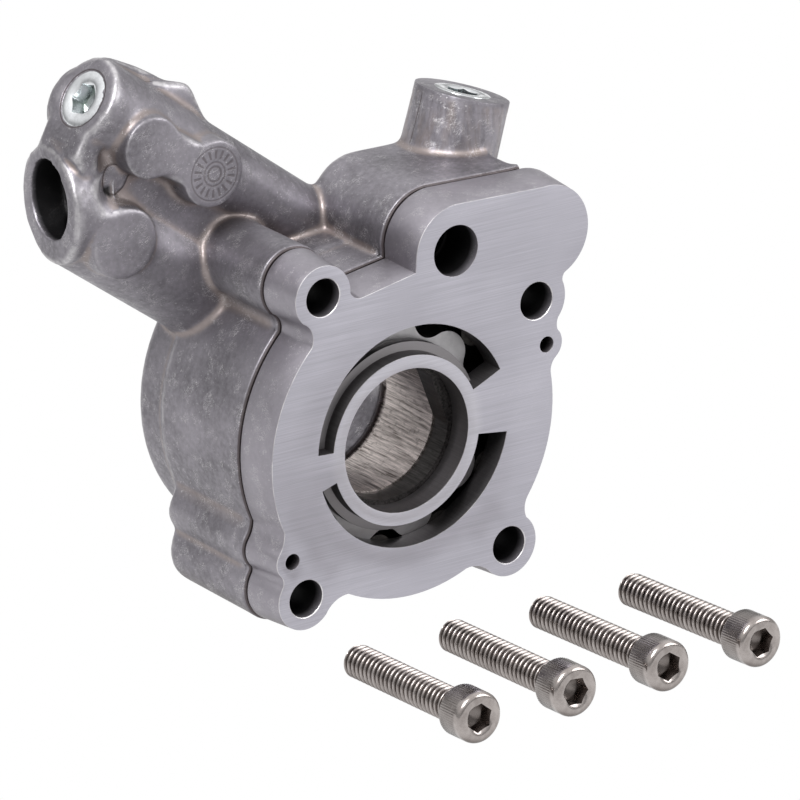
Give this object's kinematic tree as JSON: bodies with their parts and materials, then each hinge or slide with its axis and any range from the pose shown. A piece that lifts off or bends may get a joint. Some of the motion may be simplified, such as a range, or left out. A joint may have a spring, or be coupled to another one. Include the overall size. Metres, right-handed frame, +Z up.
{
  "type": "engine oil pump",
  "caption": "Die-cast gerotor oil pump with kidney ports in its machined face, a side arm with the inlet bore, a relief valve boss and loose socket head cap screws.",
  "frame": {"origin": "centre of the shaft bore on the machined front face", "axes": "+X right along the face, +Y into the pump away from the face, +Z up"},
  "size_m": [0.0963, 0.1071, 0.1056],
  "materials": {
    "machined_aluminium": "fine milled",
    "cast_aluminium": "die-cast, slightly mottled",
    "sintered_steel": "dark sintered and ground",
    "zinc_plated_steel": "bright zinc",
    "spring_steel": "plain",
    "stainless_steel": "satin stainless",
    "seal_rubber": "matte"
  },
  "bodies": {
    "pump_body": {"front_housing": "machined_aluminium", "rear_housing": "cast_aluminium", "separator_plate_front": "machined_aluminium", "separator_plate_rear": "machined_aluminium", "separator_seals": "seal_rubber", "separator_wave_spring": "spring_steel", "relief_plug": "zinc_plated_steel", "relief_shim": "spring_steel", "relief_spring": "spring_steel", "relief_seat": "spring_steel", "gallery_plug": "zinc_plated_steel", "relief_plug_seal": "seal_rubber", "gallery_plug_seal": "seal_rubber", "dowel_pins": "spring_steel", "loose_screws": "stainless_steel"},
    "feed_inner": {"feed_inner_rotor": "sintered_steel"},
    "feed_outer": {"feed_outer_rotor": "sintered_steel"},
    "scavenge_inner": {"scavenge_inner_rotor": "sintered_steel"},
    "scavenge_outer": {"scavenge_outer_rotor": "sintered_steel"},
    "relief_valve": {"relief_piston": "sintered_steel"}
  },
  "joints": [
    {"name": "scavenge_inner_spin", "type": "hinge", "parent": "pump_body", "child": "scavenge_inner", "pos_m": [0, 0, 0], "axis": [0, 1, 0], "continuous": true},
    {"name": "scavenge_outer_spin", "type": "hinge", "parent": "pump_body", "child": "scavenge_outer", "pos_m": [0.00167, 0, 0.0003], "axis": [0, 1, 0], "continuous": true},
    {"name": "feed_inner_spin", "type": "hinge", "parent": "pump_body", "child": "feed_inner", "pos_m": [0, 0, 0], "axis": [0, 1, 0], "continuous": true},
    {"name": "feed_outer_spin", "type": "hinge", "parent": "pump_body", "child": "feed_outer", "pos_m": [0.00167, 0, 0.0003], "axis": [0, 1, 0], "continuous": true},
    {"name": "relief_slide", "type": "slide", "parent": "pump_body", "child": "relief_valve", "axis": [0.2756, 0, 0.9613], "range_m": [0, 0.003], "stiffness_N_per_m": 2500, "springref_m": -0.002, "deforming": ["relief_spring"]}
  ],
  "couplings": [
    {"joint": "scavenge_outer_spin", "follows": "scavenge_inner_spin", "ratio": 0.9},
    {"joint": "feed_inner_spin", "follows": "scavenge_inner_spin", "ratio": 1},
    {"joint": "feed_outer_spin", "follows": "scavenge_inner_spin", "ratio": 0.9}
  ]
}
